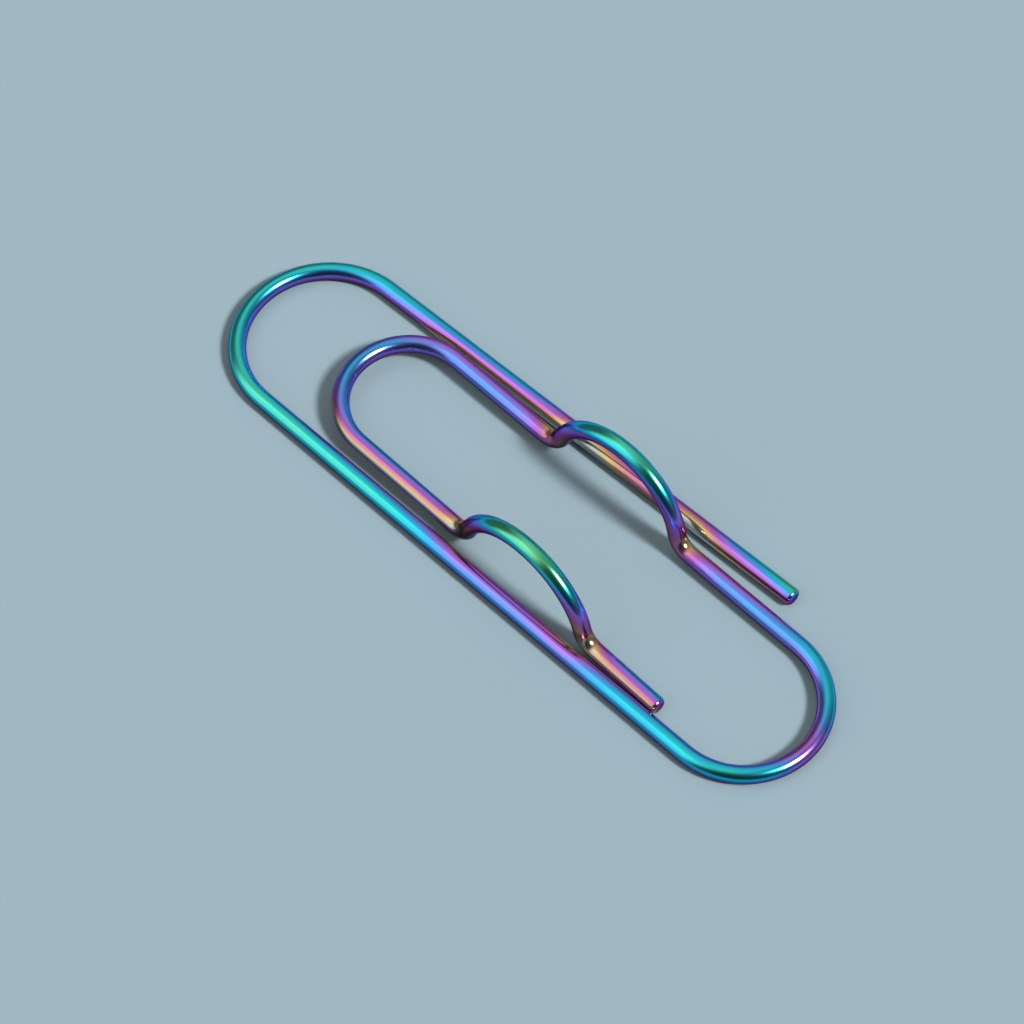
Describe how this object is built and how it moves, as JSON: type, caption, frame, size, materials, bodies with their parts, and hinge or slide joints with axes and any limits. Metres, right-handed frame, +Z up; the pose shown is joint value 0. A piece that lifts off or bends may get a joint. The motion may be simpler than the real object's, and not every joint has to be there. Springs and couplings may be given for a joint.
{
  "type": "pen clip",
  "caption": "Bent spring wire clip with an outer loop that grips a notebook cover, an inner tongue, and upright arches that hold a pen across it.",
  "frame": {"origin": "centre of the clip's box, on the surface that the outer loop lies on", "axes": "+X along the legs from the mouth to the spring end, +Y from the long leg to the outer leg, +Z up to the arches"},
  "size_m": [0.0502, 0.0142, 0.0063],
  "materials": {
    "rainbow_steel": "polished spring steel wire under a rainbow interference film, teal and blue through violet to gold"
  },
  "bodies": {
    "outer_loop": {"wide_bend_long_half": "rainbow_steel", "long_leg": "rainbow_steel", "spring_bend_long_half": "rainbow_steel"},
    "outer_arm": {"outer_leg": "rainbow_steel", "wide_bend_outer_half": "rainbow_steel"},
    "tongue": {"spring_bend_tongue_half": "rainbow_steel", "tongue_root_leg": "rainbow_steel", "tongue_pen_arch": "rainbow_steel", "tongue_front_leg": "rainbow_steel", "tongue_bend_root_half": "rainbow_steel"},
    "free_arm": {"tongue_bend_free_half": "rainbow_steel", "free_front_leg": "rainbow_steel", "free_pen_arch": "rainbow_steel", "free_tip": "rainbow_steel"}
  },
  "joints": [
    {"name": "tongue_flex", "type": "hinge", "parent": "outer_loop", "child": "tongue", "pos_m": [0.0245, -0.0012, 0.0006], "axis": [0, 1, 0], "range_deg": [0, 10], "stiffness_Nm_per_rad": 0.5},
    {"name": "free_arm_flex", "type": "hinge", "parent": "tongue", "child": "free_arm", "pos_m": [-0.01564, -0.00013, 0.00128], "axis": [-0.0086, -1, 0.0001], "range_deg": [0, 8], "stiffness_Nm_per_rad": 0.8},
    {"name": "outer_arm_flex", "type": "hinge", "parent": "outer_loop", "child": "outer_arm", "pos_m": [-0.0245, -0.00049, 0.0006], "axis": [0, -1, 0], "range_deg": [0, 8], "stiffness_Nm_per_rad": 0.6}
  ]
}
